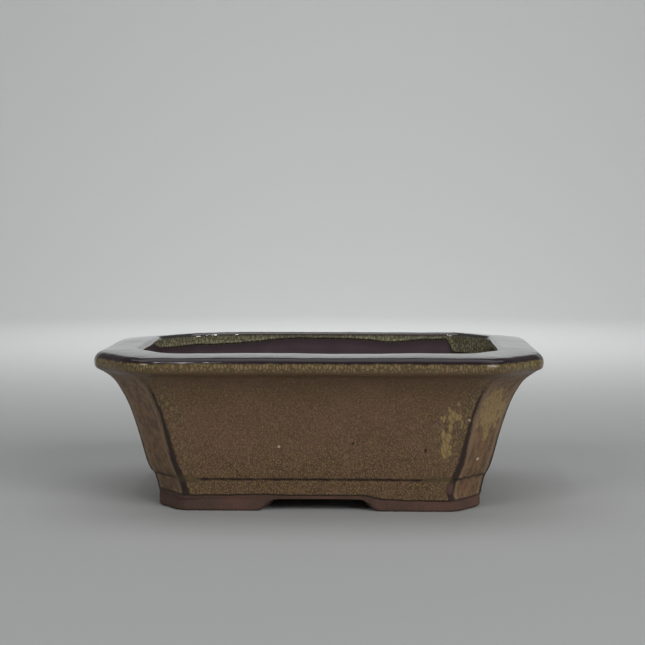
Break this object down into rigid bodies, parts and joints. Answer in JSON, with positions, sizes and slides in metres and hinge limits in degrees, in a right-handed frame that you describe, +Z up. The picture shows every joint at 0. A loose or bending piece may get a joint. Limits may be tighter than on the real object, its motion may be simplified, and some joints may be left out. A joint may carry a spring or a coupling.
{
  "type": "bonsai pot",
  "caption": "Rectangular glazed bonsai pot with canted corners, a rolled lip, a set-back base band and cut-away feet, drained through its floor.",
  "frame": {"origin": "on the table, under the centre of the pot", "axes": "+Z up, +X to the right along the long side, -Y out of the front"},
  "size_m": [0.1998, 0.1498, 0.072],
  "materials": {
    "bare_clay": "unglazed stoneware, matte, reddish purple brown",
    "wall_glaze": "brown and olive mottled glaze, satin to glossy",
    "lip_glaze": "dark glossy glaze, thin and purple black on the edge, olive below it"
  },
  "bodies": {
    "root": {"floor_slab": "bare_clay", "front_base_band": "wall_glaze", "back_base_band": "wall_glaze", "left_base_band": "wall_glaze", "right_base_band": "wall_glaze", "front_wall": "wall_glaze", "back_wall": "wall_glaze", "left_wall": "wall_glaze", "right_wall": "wall_glaze", "front_left_pilaster": "wall_glaze", "front_right_pilaster": "wall_glaze", "back_left_pilaster": "wall_glaze", "back_right_pilaster": "wall_glaze", "front_lip": "lip_glaze", "back_lip": "lip_glaze", "left_lip": "lip_glaze", "right_lip": "lip_glaze", "front_left_foot": "bare_clay", "front_right_foot": "bare_clay", "back_left_foot": "bare_clay", "back_right_foot": "bare_clay"}
  },
  "joints": []
}
